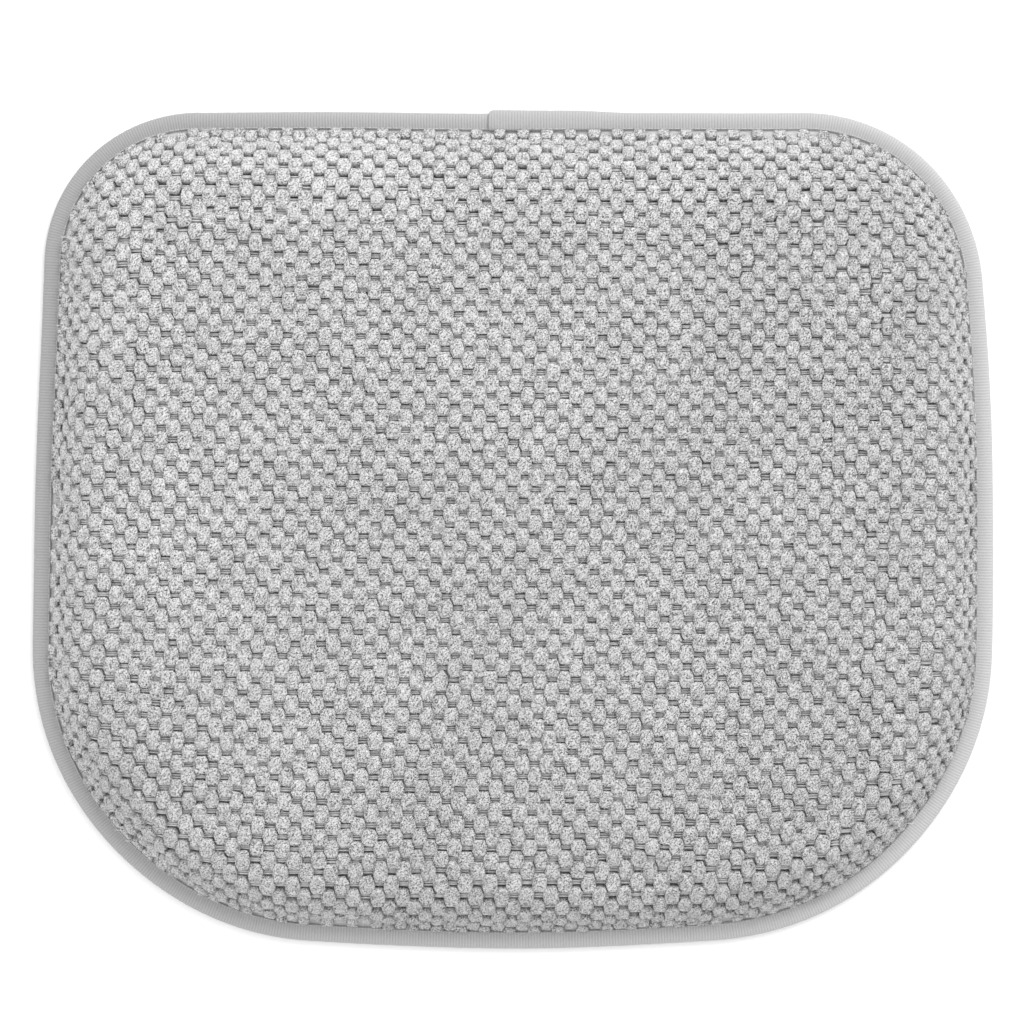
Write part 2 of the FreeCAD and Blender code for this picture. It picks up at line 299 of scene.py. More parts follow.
# The dome as rings by columns, and where each of its points would lie on the flat cloth. On the
# flat a ring's inset is its length of arc from the rim, set so that the shoulder's end stays where
# it is. Inside the shoulder the rings shrink towards the middle.
def clothGrid():
    edge, inward = outlineAt(columnAt)
    foot, roll = shoulderSize(inward)
    inset, height = bandProfile(foot, roll)
    step = np.hypot(np.diff(inset, axis=0), np.diff(height, axis=0))
    length = np.concatenate([np.zeros((1, around)), np.cumsum(step, 0)])
    flatInset = length - length[-1] + inset[-1]
    bandFlat = edge + inward * flatInset[..., None]
    bandPlan = edge + inward * inset[..., None]
    share = np.linspace(1.0, 0.0, dome["topRings"] + 1)[1:-1, None]
    topPlan = bandPlan[-1] * share[..., None]
    flat = np.concatenate([bandFlat, topPlan])
    plan = np.concatenate([bandPlan, topPlan])
    crown = dome["crown"] * mm * (1 - share ** 2) ** 2
    height = np.concatenate([height, np.repeat(shoulderTop + crown, around, 1)])
    return flat, np.concatenate([plan, height[..., None]], -1), length


flatGrid, domeGrid, bandLength = clothGrid()
bandRings, ringCount = len(bandLength), len(domeGrid)


# Quads between rings and a fan to the pole, seen from outside.
def surfaceFaces(rings, pole):
    last = (rings - 1) * around + np.arange(around)
    return [gridFaces(rings, around, flip=True), fanFaces(last, pole, flip=True)]


# The ground cloth blown up by cloth simulation: its rim is held, the shape starts a little low, and
# no point moves further than the cap.
def puffedGrid():
    x, y = domeGrid[..., 0], domeGrid[..., 1]
    inner = smoothStep((np.arange(ringCount) - dome["rimRings"]) / bandRings)[:, None]
    first, second, third = (np.sin(a * x + b * y + c) for a, b, c in dome["swells"])
    waves = dome["waves"] * mm * (first * second + dome["third"] * third)
    start = domeGrid.copy()
    start[..., 2] += inner * (waves - dome["slack"] * mm)
    pole = start[-1].mean(0)
    verts = np.r_[start.reshape(-1, 3), pole[None]]
    piece = makePiece("clothTrial", verts, surfaceFaces(ringCount, len(verts) - 1), None)
    held = piece.vertex_groups.new(name="held")
    held.add(list(range((dome["rimRings"] + 1) * around)), 1.0, "REPLACE")
    cloth = piece.modifiers.new("puff", "CLOTH")
    settings = cloth.settings
    settings.vertex_group_mass = "held"
    settings.use_pressure = True
    settings.uniform_pressure_force = dome["pressure"]
    settings.effector_weights.gravity = 0.0
    settings.quality = dome["quality"]
    cloth.point_cache.frame_start, cloth.point_cache.frame_end = 1, dome["frames"]
    for number in range(1, dome["frames"] + 1):
        scene.frame_set(number)
    shaped = piece.evaluated_get(bpy.context.evaluated_depsgraph_get()).to_mesh()
    moved = np.empty(len(verts) * 3, np.float32)
    shaped.vertices.foreach_get("co", moved)
    scene.frame_set(1)
    bpy.data.objects.remove(piece)
    shift = moved.reshape(-1, 3) - verts
    far = np.linalg.norm(shift, axis=1, keepdims=True)
    print(f"chair pad: cloth moved up to {far.max() / mm:.1f} mm before the cap")
    shift *= np.minimum(1.0, dome["cap"] * mm / np.maximum(far, 1e-9))
    verts = verts + shift
    return verts[:-1].reshape(domeGrid.shape), verts[-1]


clothSurface, clothPole = puffedGrid()
print(f"chair pad: ground cloth puffed, {ringCount} rings of {around}")


# Fractional ring and column of points of the flat cloth. Near the edge they come from the nearest
# point of the outline and the length of arc in from the rim, and inside the shoulder from the
# direction and distance about the middle.
def ringOf(flat):
    fine = np.arange(dome["fine"]) * girth / dome["fine"]
    edge, inward = outlineAt(fine)
    away = flat[:, None] - edge[None]
    nearest = (away ** 2).sum(-1).argmin(1)
    tangent = np.stack([-inward[:, 1], inward[:, 0]], -1)
    back = away[np.arange(len(flat)), nearest]
    s = fine[nearest] + (back * tangent[nearest]).sum(-1)
    column = np.mod(s / girth, 1.0) * around
    edge, inward = outlineAt(s)
    depth = ((flat - edge) * inward).sum(-1)
    foot, roll = shoulderSize(inward)
    low = column.astype(int) % around
    share = column - np.floor(column)
    table = bandLength[:, low] * (1 - share) + bandLength[:, (low + 1) % around] * share
    reach = depth + table[-1] - (foot + roll)
    band = np.clip((table < reach).sum(0) - 1, 0, bandRings - 2)
    k = np.arange(len(flat))
    ring = band + (reach - table[band, k]) / (table[band + 1, k] - table[band, k])
    inside = depth > foot + roll
    rimLine = flatGrid[bandRings - 1]
    bearing = np.unwrap(np.arctan2(rimLine[:, 1], rimLine[:, 0]))
    span = np.r_[bearing[::-1], bearing[0] + 2 * np.pi]           # rising, one whole turn
    columns = np.r_[np.arange(around)[::-1], 0.0]
    own = np.arctan2(flat[:, 1], flat[:, 0])
    own = span[0] + np.mod(own - span[0], 2 * np.pi)
    topColumn = np.interp(own, span, columns)
    low = topColumn.astype(int) % around
    share = (topColumn - np.floor(topColumn))[:, None]
    reachOut = np.linalg.norm(rimLine[low] * (1 - share) + rimLine[(low + 1) % around] * share, axis=1)
    fraction = np.linalg.norm(flat, axis=1) / reachOut
    topRing = bandRings - 1 + (1 - fraction) * dome["topRings"]
    ring = np.where(inside, topRing, ring)
    column = np.where(inside, topColumn, column)
    return ring, column, reach


# Where points of the flat cloth lie on the puffed dome: their own flat place plus the shift of the
# four grid points round them, shared by distance.
def onCloth(flat):
    ring, column, reach = ringOf(flat)
    shift = clothSurface - np.concatenate([flatGrid, np.zeros((*flatGrid.shape[:2], 1))], -1)
    poleShift = np.repeat(clothPole[None, None], around, 1)
    shift = np.concatenate([shift, poleShift])
    i = np.clip(ring.astype(int), 0, ringCount - 1)
    j = column.astype(int) % around
    a, b = (ring - i)[:, None], (column - np.floor(column))[:, None]
    k = (j + 1) % around
    mixed = (shift[i, j] * (1 - a) * (1 - b) + shift[i + 1, j] * a * (1 - b)
             + shift[i, k] * (1 - a) * b + shift[i + 1, k] * a * b)
    return np.c_[flat, np.zeros(len(flat))] + mixed, reach, column * girth / around


# Lattice points that lie on the cloth: place, the two cloth directions, the outward normal, how
# much wider or narrower the lattice is there than on the plain flat cloth, the distance from the
# rim and where along the outline.
def clothFrames(parity):
    flat, stretch = latticePoints(parity)
    step = tuft["probe"] * mm
    place, reach, station = onCloth(flat)
    keep = reach > tuft["lowest"] * mm
    flat, stretch, place, reach, station = (v[keep] for v in (flat, stretch, place, reach, station))
    along = onCloth(flat + [step, 0])[0] - onCloth(flat - [step, 0])[0]
    up = onCloth(flat + [0, step])[0] - onCloth(flat - [0, step])[0]
    squeeze = np.stack([np.linalg.norm(along, axis=1), np.linalg.norm(up, axis=1)], -1) / (2 * step)
    along /= np.linalg.norm(along, axis=1, keepdims=True)
    normal = np.cross(along, up)
    normal /= np.linalg.norm(normal, axis=1, keepdims=True)
    up = np.cross(normal, along)
    return place, along, up, normal, np.clip(squeeze, *tuft["squeeze"]) * stretch, reach, station


tapeLow = tapeBox[0].z + tape["gauge"] * mm
tapeHigh = tapeBox[1].z - tape["gauge"] * mm


tuft = {
    "halfColumn": 5.37, "row": 5.22,          # lattice steps
    "columns": 48, "rows": 44,                # how far the counts go each way from the middle
    "start": (-1.0, 2.5),
    "lean": 0.24,                             # columns lean as they go back
    "bend": (-0.0015, -0.0032, -0.0022),      # x by i*i, i*j and j*j
    "sag": (0.0010, -0.0017, -0.0034),        # y by i*i, i*j and j*j
    "halfWide": 3.48, "halfLong": 4.34, "slant": (0.918, 0.396, 3.74), "square": 14.0,
    "corners": (23.0, 43.0, 62.0),            # bearings of the outline's points in each quarter
    "levels": (-1.0, 3.3, 4.05, 4.35), "spread": (0.90, 1.0, 0.95, 0.74), "top": 4.45,
    "size": 0.03, "twist": 3.5, "place": 0.16, "lump": 0.15, "height": 0.05,    # random shares
    "probe": 1.2,                             # half step that finds the cloth's directions
    "squeeze": (0.8, 1.1),                    # least and most that tufts follow the cloth's squeeze
    "wall": 0.85,                             # how much shorter fibres are on an upright wall
    "fibres": 42, "fibreLong": 1.5, "fibreThick": 0.23, "fibreLean": (0.25, 0.25),
    "fibreFoot": (0.97, 0.15),                # fibres start at this share of the reach, this deep
    "fibreShare": (0.01, 1.0), "fibreRim": 0.4,    # a lower power sets more fibres near the outline
    "fibreSlope": (0.0, 0.3, 0.75, 1.0),      # how far the top has turned down, from its middle out
    "fibreOut": 0.7, "fibreStray": (0.5, 0.5, 0.12), "fibreUp": 0.35, "fibreRange": (0.6, 1.25),
    "lowest": 6.4,                            # none nearer the rim than this along the cloth
    "crowd": {"start": 7.0, "over": 16.0, "wide": 0.80, "tall": 0.85},
    "press": 0.25,                            # share left of what reaches past the tape's inner edge
    "rest": 0.15,                             # tufts that reach over the tape lie this far above it
}


# Flat places of the lattice where i + j is even (parity 0) or odd (1): straight rows and columns
# bent by a quadratic in the two counts. Also how wide the lattice's steps are there, as a share of
# the plain steps: one plus the slope of the bend over the step.
def latticePoints(parity):
    i, j = np.meshgrid(
        np.arange(-tuft["columns"], tuft["columns"] + 1),
        np.arange(-tuft["rows"], tuft["rows"] + 1), indexing="ij",
    )
    keep = (i + j) % 2 == parity
    i, j = i[keep].astype(float), j[keep].astype(float)
    terms = np.stack([i * i, i * j, j * j])
    bend, sag = np.tensordot(tuft["bend"], terms, 1), np.tensordot(tuft["sag"], terms, 1)
    x = tuft["start"][0] + tuft["halfColumn"] * i + tuft["lean"] * j + bend
    y = tuft["start"][1] + tuft["row"] * j + sag
    wide = 1 + (2 * tuft["bend"][0] * i + tuft["bend"][1] * j) / tuft["halfColumn"]
    long = 1 + (tuft["sag"][1] * i + 2 * tuft["sag"][2] * j) / tuft["row"]
    return np.stack([x, y], -1) * mm, np.stack([wide, long], -1)


# A tuft's outline, a barrel: how far it reaches at bearing a, as the soft minimum of the distances
# to two long sides, four slanted sides and two ends. That is one over the p-norm of direction over
# distance.
def tuftReach(a):
    c, s = np.cos(a), np.sin(a)
    cs, sn, slant = tuft["slant"]
    parts = np.abs(np.stack([
        c / tuft["halfWide"], (c * cs + s * sn) / slant, (c * cs - s * sn) / slant, s / tuft["halfLong"]
    ]))
    return (parts ** tuft["square"]).sum(0) ** (-1 / tuft["square"])


# The tufts' solid middles: outline times spread at each level, made uneven, and a pole above and
# below. Returns points as across, along and up, in millimetres, and the faces of one.
def tuftBodies(count):
    quarter = np.radians(tuft["corners"])
    a = np.r_[quarter, np.pi - quarter[::-1], np.pi + quarter, 2 * np.pi - quarter[::-1]]
    levels, spread = np.array(tuft["levels"]), np.array(tuft["spread"])
    ring = np.stack([np.cos(a), np.sin(a)], -1) * tuftReach(a)[:, None]
    shape = np.zeros((count, len(levels), len(a), 3))
    shape[..., :2] = ring * spread[:, None, None]
    shape[..., 2] = levels[:, None]
    shape += tuft["lump"] * rng.standard_normal(shape.shape)
    poles = np.zeros((count, 2, 3))
    poles[..., 2] = [levels[0], tuft["top"]]
    sides = len(a)
    pole = len(levels) * sides
    caps = np.concatenate([fanFaces(np.arange(sides), pole, flip=True),
                           fanFaces(pole - sides + np.arange(sides), pole + 1)])
    return np.concatenate([shape.reshape(count, -1, 3), poles], 1), gridFaces(len(levels), sides), caps


# Fibres that stand out of each tuft: thin three-sided spikes. Each starts at a random bearing and
# share of the reach, at the height that the tuft has there, and points along a mix of the tuft's
# own slope, a shared lean and a random direction. They are shorter where the cloth isn't level.
def tuftFibres(count, level):
    each = tuft["fibres"]
    a = rng.uniform(0, 2 * np.pi, (count, each))
    share = rng.uniform(*tuft["fibreShare"], (count, each)) ** tuft["fibreRim"]
    spread = np.r_[0.0, tuft["spread"][:0:-1]]
    slope = np.interp(share, spread, tuft["fibreSlope"])
    radial = np.stack([np.cos(a), np.sin(a), np.zeros_like(a)], -1)
    inset, sunk = tuft["fibreFoot"]
    base = radial * (tuftReach(a) * share * inset)[..., None]
    base[..., 2] = np.interp(share, spread, [tuft["top"], *tuft["levels"][:0:-1]]) - sunk
    stray = rng.standard_normal((count, each, 3)) * tuft["fibreStray"]
    ahead = radial * slope[..., None] * tuft["fibreOut"] + stray
    ahead[..., :2] += tuft["fibreLean"]
    ahead[..., 2] += tuft["fibreUp"] + tuft["fibreUp"] * np.sqrt(1 - slope ** 2)
    ahead /= np.linalg.norm(ahead, axis=-1, keepdims=True)
    beside = np.cross(ahead, [0.3, -0.5, 0.8])
    beside /= np.linalg.norm(beside, axis=-1, keepdims=True)
    turn = np.array([0.0, 2.0, 4.0]) * np.pi / 3
    foot = (beside[..., None, :] * np.cos(turn)[:, None]
            + np.cross(ahead, beside)[..., None, :] * np.sin(turn)[:, None])
    foot = base[..., None, :] + foot * tuft["fibreThick"]
    long = tuft["fibreLong"] * rng.uniform(*tuft["fibreRange"], (count, each, 1))
    long = long * (1 - tuft["wall"] * (1 - np.clip(level, 0.0, 1.0)))[:, None, None]
    tip = base + ahead * long
    spikes = np.concatenate([foot, tip[..., None, :]], -2).reshape(count, -1, 3)
    first = (4 * np.arange(each))[:, None, None]
    one = np.array([[0, 1, 3], [1, 2, 3], [2, 0, 3], [0, 2, 1]])
    return spikes, (one + first).reshape(-1, 3)


# How narrow and how short tufts are at a distance along the cloth from the rim: each goes from
# its crowded share up to one by a smooth step, which is also returned.
def crowding(reach):
    crowd = tuft["crowd"]
    free = smoothStep((reach / mm - crowd["start"]) / crowd["over"])
    wide = crowd["wide"] + (1 - crowd["wide"]) * free
    tall = crowd["tall"] + (1 - crowd["tall"]) * free
    return wide, tall, free


# Every tuft with its fibres, set on its own place and cloth directions, a little turned, scaled
# and shifted. What reaches past the tape's inner edge is pressed back to a share of its reach and
# lies on the tape.
def makeTufts():
    place, along, up, normal, stretch, reach, station = clothFrames(0)
    wide, tall = crowding(reach)[:2]
    count = len(place)
    body, quads, caps = tuftBodies(count)
    fibres, spikes = tuftFibres(count, normal[:, 2])
    local = np.concatenate([body, fibres], 1) * mm
    size = (1 + tuft["size"] * rng.standard_normal((count, 2))) * stretch * wide[:, None]
    turn = np.radians(tuft["twist"]) * rng.standard_normal((count, 1))
    jitter = tuft["place"] * mm * rng.standard_normal((2, count, 1))
    x, y = local[..., 0] * size[:, :1], local[..., 1] * size[:, 1:]
    u = x * np.cos(turn) - y * np.sin(turn) + jitter[0]
    v = x * np.sin(turn) + y * np.cos(turn) + jitter[1]
    w = local[..., 2] * (1 + tuft["height"] * rng.standard_normal((count, 1))) * tall[:, None]
    frames = ((u, along), (v, up), (w, normal))
    verts = place[:, None] + sum(a[..., None] * d[:, None] for a, d in frames)
    edge, inward = outlineAt(station)
    inset = ((verts[..., :2] - edge[:, None]) * inward[:, None]).sum(-1)
    near = reach[:, None] < tape["nearby"] * mm
    past = np.where(near, np.maximum(tape["leg"] * mm - inset, 0.0), 0.0)
    verts[..., :2] += inward[:, None] * (past * (1 - tuft["press"]))[..., None]
    overTape = past > 0
    lifted = np.maximum(verts[..., 2], tapeHigh + tuft["rest"] * mm)
    verts[..., 2] = np.where(overTape, lifted, verts[..., 2])
    first = (np.arange(count) * local.shape[1])[:, None, None]
    tris = np.concatenate([caps, spikes + body.shape[1]])
    print(f"chair pad: {count} tufts")
    return verts.reshape(-1, 3), (quads + first).reshape(-1, 4), (tris + first).reshape(-1, 3)


cord = {
    "offsets": (-0.5, 0.5), "half": 3.1, "radius": 0.68, "rise": 1.8,
    "sink": 1.6,                 # how much lower at the rim
    "taper": 0.25, "tip": 0.2, "shake": 0.12, "sides": 5, "steps": 2,
}


# Two short cords in every gap of the lattice: a tube whose radius falls to its ends, lying along
# the row, closed by a pole at each end.
def makeCords():
    place, along, up, normal, _, reach, _ = clothFrames(1)
    place = place - normal * (cord["sink"] * mm * (1 - crowding(reach)[2]))[:, None]
    count, sides, steps = len(place), cord["sides"], cord["steps"]
    a = np.arange(sides) * 2 * np.pi / sides
    t = np.linspace(-1.0, 1.0, steps)
    taper = cord["radius"] * (1 - cord["taper"] * t ** 2)
    u = np.repeat(t * cord["half"], sides)
    v = (taper[:, None] * np.cos(a)).ravel()
    w = (taper[:, None] * np.sin(a)).ravel() + cord["rise"]
    u = np.r_[u, -cord["half"] - cord["tip"], cord["half"] + cord["tip"]] * mm
    v, w = np.r_[v, 0, 0] * mm, np.r_[w, cord["rise"], cord["rise"]] * mm
    per = steps * sides + 2
    allVerts, allQuads, allCaps = [], [], []
    for offset in cord["offsets"]:
        shake = rng.standard_normal((count, 2)) * cord["shake"] * mm
        verts = (place[:, None] + u[None, :, None] * along[:, None]
                 + (v[None] + offset * mm + shake[:, :1])[..., None] * up[:, None]
                 + (w[None] + shake[:, 1:])[..., None] * normal[:, None])
        first = ((np.arange(count) + count * len(allVerts)) * per)[:, None, None]
        quads = gridFaces(steps, sides)
        caps = np.concatenate([fanFaces(np.arange(sides), per - 2, flip=True),
                               fanFaces((steps - 1) * sides + np.arange(sides), per - 1)])
        allVerts.append(verts.reshape(-1, 3))
        allQuads.append((quads[None] + first).reshape(-1, 4))
        allCaps.append((caps[None] + first).reshape(-1, 3))
    return np.concatenate(allVerts), np.concatenate(allQuads), np.concatenate(allCaps)


# Outward normals of a grid: down its rings crossed with round its columns.
def gridNormals(grid):
    down = np.gradient(grid, axis=0)
    turn = np.roll(grid, -1, 1) - np.roll(grid, 1, 1)
    normal = np.cross(turn, down)
    normal *= np.sign(normal[ringCount // 2:, :, 2].mean())
    return normal / np.maximum(np.linalg.norm(normal, axis=-1, keepdims=True), 1e-12)


# The ground cloth with its thickness: the puffed surface, the same surface moved inwards along its
# normals, and a strip that joins them round the rim.
def makeGround():
    normal = gridNormals(clothSurface)
    inner = clothSurface - normal * dome["cloth"] * mm
    verts = np.concatenate([clothSurface.reshape(-1, 3), clothPole[None],
                            inner.reshape(-1, 3), clothPole[None] - [0, 0, dome["cloth"] * mm]])
    half = ringCount * around + 1
    outside = surfaceFaces(ringCount, half - 1)
    inside = [f[:, ::-1] + half for f in outside]
    k = np.arange(around)
    n = np.roll(k, -1)
    strip = np.stack([k, n, n + half, k + half], -1)
    return verts, np.concatenate([outside[0], inside[0], strip]), np.concatenate([outside[1], inside[1]])


pileLook = {
    # The ramp's dark end is painted shade in the gaps between strands and round the fibre tips.
    "stops": (0.12, 0.25, 0.38), "greys": (0.09, 0.70, 0.86),    # from the gaps to the lit strands
    "tips": -0.45,               # how much the tips' cells take off the strands' noise
    "patches": (0.93, 1.07),     # tone of the darkest and the lightest patch
    # Painted light: the pile's tone falls towards +x and rises towards +y, standing in for how light
    # falls across the pad.
    "side": (-0.37, 0.13, 0.0),  # growth of the tone with x, y and z
}


# Matt fluffy pile: strands are noise stretched along a slant, fibre tips are small cells, and both
# together colour and roughen it, the dark between them being painted shade. The tone drifts in broad
# patches, and painted light makes it fall towards +x and rise towards +y.
def pileNodes(nodes, links, shader):
    place = addNode(nodes, "ShaderNodeTexCoord")
    slant = addNode(nodes, "ShaderNodeMapping", vector_type="TEXTURE",
                    Rotation=(0.3, 0.2, 0.8), Scale=(2.3, 0.8, 1.0))
    strand = addNode(nodes, "ShaderNodeTexNoise",
                     Scale=2200.0, Detail=2.0, Roughness=0.6, Distortion=1.2)
    tips = addNode(nodes, "ShaderNodeTexVoronoi", Scale=1900.0)
    relief = addNode(nodes, "ShaderNodeMath", operation="MULTIPLY_ADD")
    relief.inputs[1].default_value = pileLook["tips"]
    shade = addNode(nodes, "ShaderNodeValToRGB")
    ramp = shade.color_ramp.elements
    ramp.new(pileLook["stops"][1])
    for element, stop, grey in zip(ramp, pileLook["stops"], pileLook["greys"]):
        element.position, element.color = stop, (grey, grey, grey, 1.0)
    patch = addNode(nodes, "ShaderNodeTexNoise", Scale=16.0, Detail=2.0, Roughness=0.5)
    broad = addNode(nodes, "ShaderNodeMapRange")
    broad.inputs["From Min"].default_value, broad.inputs["From Max"].default_value = 0.25, 0.75
    broad.inputs["To Min"].default_value, broad.inputs["To Max"].default_value = pileLook["patches"]
    # Painted light: the tone slopes with x and y across the pad.
    side = addNode(nodes, "ShaderNodeVectorMath", operation="DOT_PRODUCT")
    side.inputs[1].default_value = pileLook["side"]
    toneAndPaintedLight = addNode(nodes, "ShaderNodeMath", operation="ADD")
    tone = addNode(nodes, "ShaderNodeMix", data_type="RGBA", blend_type="MULTIPLY")
    tone.inputs[0].default_value = 1.0
    bump = addNode(nodes, "ShaderNodeBump", Strength=0.9, Distance=0.0009)
    links.new(place.outputs["Object"], slant.inputs["Vector"])
    links.new(slant.outputs["Vector"], strand.inputs["Vector"])
    links.new(place.outputs["Object"], tips.inputs["Vector"])
    links.new(place.outputs["Object"], patch.inputs["Vector"])
    links.new(tips.outputs["Distance"], relief.inputs[0])
    links.new(strand.outputs["Fac"], relief.inputs[2])
    links.new(relief.outputs["Value"], shade.inputs["Fac"])
    links.new(patch.outputs["Fac"], broad.inputs["Value"])
    links.new(shade.outputs["Color"], tone.inputs[6])
    links.new(place.outputs["Object"], side.inputs[0])
    links.new(broad.outputs["Result"], toneAndPaintedLight.inputs[0])
    links.new(side.outputs["Value"], toneAndPaintedLight.inputs[1])
    links.new(toneAndPaintedLight.outputs["Value"], tone.inputs[7])
    links.new(tone.outputs[2], shader.inputs["Base Color"])
    links.new(relief.outputs["Value"], bump.inputs["Height"])
    links.new(bump.outputs["Normal"], shader.inputs["Normal"])
    shader.inputs["Roughness"].default_value = 0.95
    shader.inputs["Specular IOR Level"].default_value = 0.15
    shader.inputs["Sheen Weight"].default_value = 0.2
    shader.inputs["Sheen Roughness"].default_value = 0.6


# Nodes for a plain cloth: one noise, stretched along the yarn, shades and roughens it.
def plainCloth(colour, low, scale, stretch, depth, roughness=0.9):
    def build(nodes, links, shader):
        place = addNode(nodes, "ShaderNodeTexCoord")
        turn = addNode(nodes, "ShaderNodeMapping", Scale=stretch)
        yarn = addNode(nodes, "ShaderNodeTexNoise", Scale=scale, Detail=3.0, Roughness=0.6)
        shade = addNode(nodes, "ShaderNodeValToRGB")
        shade.color_ramp.elements[0].position, shade.color_ramp.elements[1].position = 0.3, 0.7
        shade.color_ramp.elements[0].color = (*(c * low for c in colour), 1.0)
        shade.color_ramp.elements[1].color = (*colour, 1.0)
        bump = addNode(nodes, "ShaderNodeBump", Strength=0.6, Distance=depth)
        links.new(place.outputs["Object"], turn.inputs["Vector"])
        links.new(turn.outputs["Vector"], yarn.inputs["Vector"])
        links.new(yarn.outputs["Fac"], shade.inputs["Fac"])
        links.new(shade.outputs["Color"], shader.inputs["Base Color"])
        links.new(yarn.outputs["Fac"], bump.inputs["Height"])
        links.new(bump.outputs["Normal"], shader.inputs["Normal"])
        shader.inputs["Roughness"].default_value = roughness
        shader.inputs["Specular IOR Level"].default_value = 0.2
    return build


pile = setNodes(bpy.data.materials.new("chenillePile"), pileNodes)
ground = setNodes(bpy.data.materials.new("groundCloth"),
                  plainCloth(colour=(0.70, 0.70, 0.70), low=0.78, scale=1500.0,
                             stretch=(0.5, 1.0, 1.0), depth=0.0003))


def makeCover():
    parts = [makeGround(), makeCords(), makeTufts()]
    base = np.cumsum([0] + [len(p[0]) for p in parts])
    quads = np.concatenate([p[1] + b for p, b in zip(parts, base)])
    tris = np.concatenate([p[2] + b for p, b in zip(parts, base)])
    wear = np.concatenate([np.full(len(p[1]), k) for p, k in zip(parts, (0, 0, 1))]
                          + [np.full(len(p[2]), k) for p, k in zip(parts, (0, 0, 1))])
    cover = makePiece("chenilleCover", np.concatenate([p[0] for p in parts]), [quads, tris], ground,
                      materialIndex=wear, more=(pile,))
    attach(cover, "root")
    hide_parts("chenille_cover")
    return cover


cover = makeCover()
print("chair pad: cover made")


foamFacts = {"gap": 1.6, "lowest": 0.2}


# The slab inside: the puffed surface from the wall's foot up, moved inwards along its normals to
# clear the cloth, and closed flat on the backing.
def makeFoam():
    first = dome["rimRings"] + dome["filletRings"]
    shell = (clothSurface - gridNormals(clothSurface) * foamFacts["gap"] * mm)[first:]
    floorLevel = backing[1].z
    wall = shell[:1].copy()
    wall[..., 2] = floorLevel
    shell[..., 2] = np.maximum(shell[..., 2], floorLevel + foamFacts["lowest"] * mm)
    rings = np.concatenate([wall, shell])
    top = clothPole - [0, 0, foamFacts["gap"] * mm]
    verts = np.concatenate([rings.reshape(-1, 3), top[None], [[0.0, 0.0, floorLevel]]])
    pole = len(rings) * around
    faces = surfaceFaces(len(rings), pole)
    under = fanFaces(np.arange(around), pole + 1)
    return makePiece("foamCore", verts, [faces[0], np.concatenate([faces[1], under])], foam)


foam = setNodes(bpy.data.materials.new("memoryFoam"),
                plainCloth(colour=(0.86, 0.82, 0.70), low=0.9, scale=700.0,
                           stretch=(1.0, 1.0, 1.0), depth=0.0003, roughness=0.8))
foamCore = makeFoam()
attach(foamCore, "root")
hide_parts("memory_foam_core")
print("chair pad: foam core made")


# The folded tape's cross-section as inset and height, with its outward direction there. Each half
# of the outside rises from the seam to a bulge by a smooth step, then falls to the fold as a
# quarter superellipse. The inside is a plain channel, a gauge in.
def tapeSection():
    middle, half = (tapeLow + tapeHigh) / 2, (tapeHigh - tapeLow) / 2
    nose, leg, gauge = tape["nose"] * mm, tape["leg"] * mm, tape["gauge"] * mm
    legX = np.linspace(leg, nose, 4, endpoint=False)
    turn = np.linspace(np.pi / 2, 0.0, tape["quarter"])
    quarterX = nose * (1 - np.cos(turn) ** tape["round"])
    swell = tape["bulge"] * mm

    def outside(bulge):
        legZ = half + bulge * smoothStep((leg - legX) / (leg - nose))
        return np.c_[np.r_[legX, quarterX], np.r_[legZ, (half + bulge) * np.sin(turn) ** tape["round"]]]

    upper, lower = outside(swell), outside(0.0)[::-1][1:]
    outer = np.r_[upper, lower * [1, -1]] + [0, middle]
    innerX = np.array([leg, nose, 2 * gauge, gauge, 2 * gauge, nose, leg])
    innerZ = middle + (half - gauge) * np.array([1.0, 1.0, 0.75, 0.0, -0.75, -1.0, -1.0])
    inner = np.c_[innerX, innerZ][::-1]
    ahead = np.gradient(outer, axis=0)
    facing = np.stack([ahead[:, 1], -ahead[:, 0]], -1)
    facing /= np.linalg.norm(facing, axis=1, keepdims=True)
    return np.r_[outer, inner], np.r_[facing, np.zeros_like(inner)]


# The section carried round the outline as one strip with two ends. Ribs are a cosine along the
# strip. The upper end is lifted off the lower one and the lift fades away past it, and its outer
# corner is rounded as a quarter circle.
def makeTape():
    section, facing = tapeSection()
    length = girth + tape["lapLength"] * mm
    ribs = int(length / (tape["ribPitch"] * mm))
    steps = ribs * tape["perRib"] + 1
    run = np.linspace(0.0, length, steps)
    edge, inward = outlineAt(run + tape["lapStart"] * mm)
    lap = tape["lapLength"] * mm
    fade = 1 - smoothStep((run - lap) / (tape["fade"] * mm))
    lift = tape["lift"] * fade * (1 - tape["sink"] * smoothStep(run / lap))
    short = 1 - np.clip(run / (tape["corner"] * mm), 0.0, 1.0)
    rounded = tape["corner"] * (1 - np.sqrt(1 - short ** 2))
    tuckIn = tape["tuck"][0] * smoothStep((run - girth) / (tape["tuck"][1] * mm))
    uneven = 1 + tape["ribRandom"] * rng.standard_normal(steps)
    rib = -np.cos(2 * np.pi * run / length * ribs) * uneven
    atFold = np.abs(facing[:, 0])
    push = (rib[:, None] * (tape["ribHeight"] + tape["ribNose"] * atFold)
            + (lift - tuckIn)[:, None] * (tape["legShare"] + (1 - tape["legShare"]) * atFold)
            - rounded[:, None] * atFold ** 2) * mm
    below = np.where(facing[:, 1] < 0, tape["under"], 1.0)
    insetAt = section[:, 0] + push * facing[:, 0]
    heightAt = section[:, 1] + push * facing[:, 1] * below
    plan = edge[:, None] + inward[:, None] * insetAt[..., None]
    verts = np.concatenate([plan, heightAt[..., None]], -1)
    per = len(section)
    quads = gridFaces(steps, per, flip=True)
    ends = np.stack([np.arange(per), (steps - 1) * per + np.arange(per)[::-1]])
    across = np.r_[0.0, np.cumsum(np.linalg.norm(np.diff(section, axis=0), axis=1))] / mm
    uv = np.stack(np.broadcast_arrays((run / length * ribs)[:, None], across[None]), -1).reshape(-1, 2)
    return makePiece("edgeTape", verts.reshape(-1, 3), [quads, ends], tapeCloth, uv=uv)
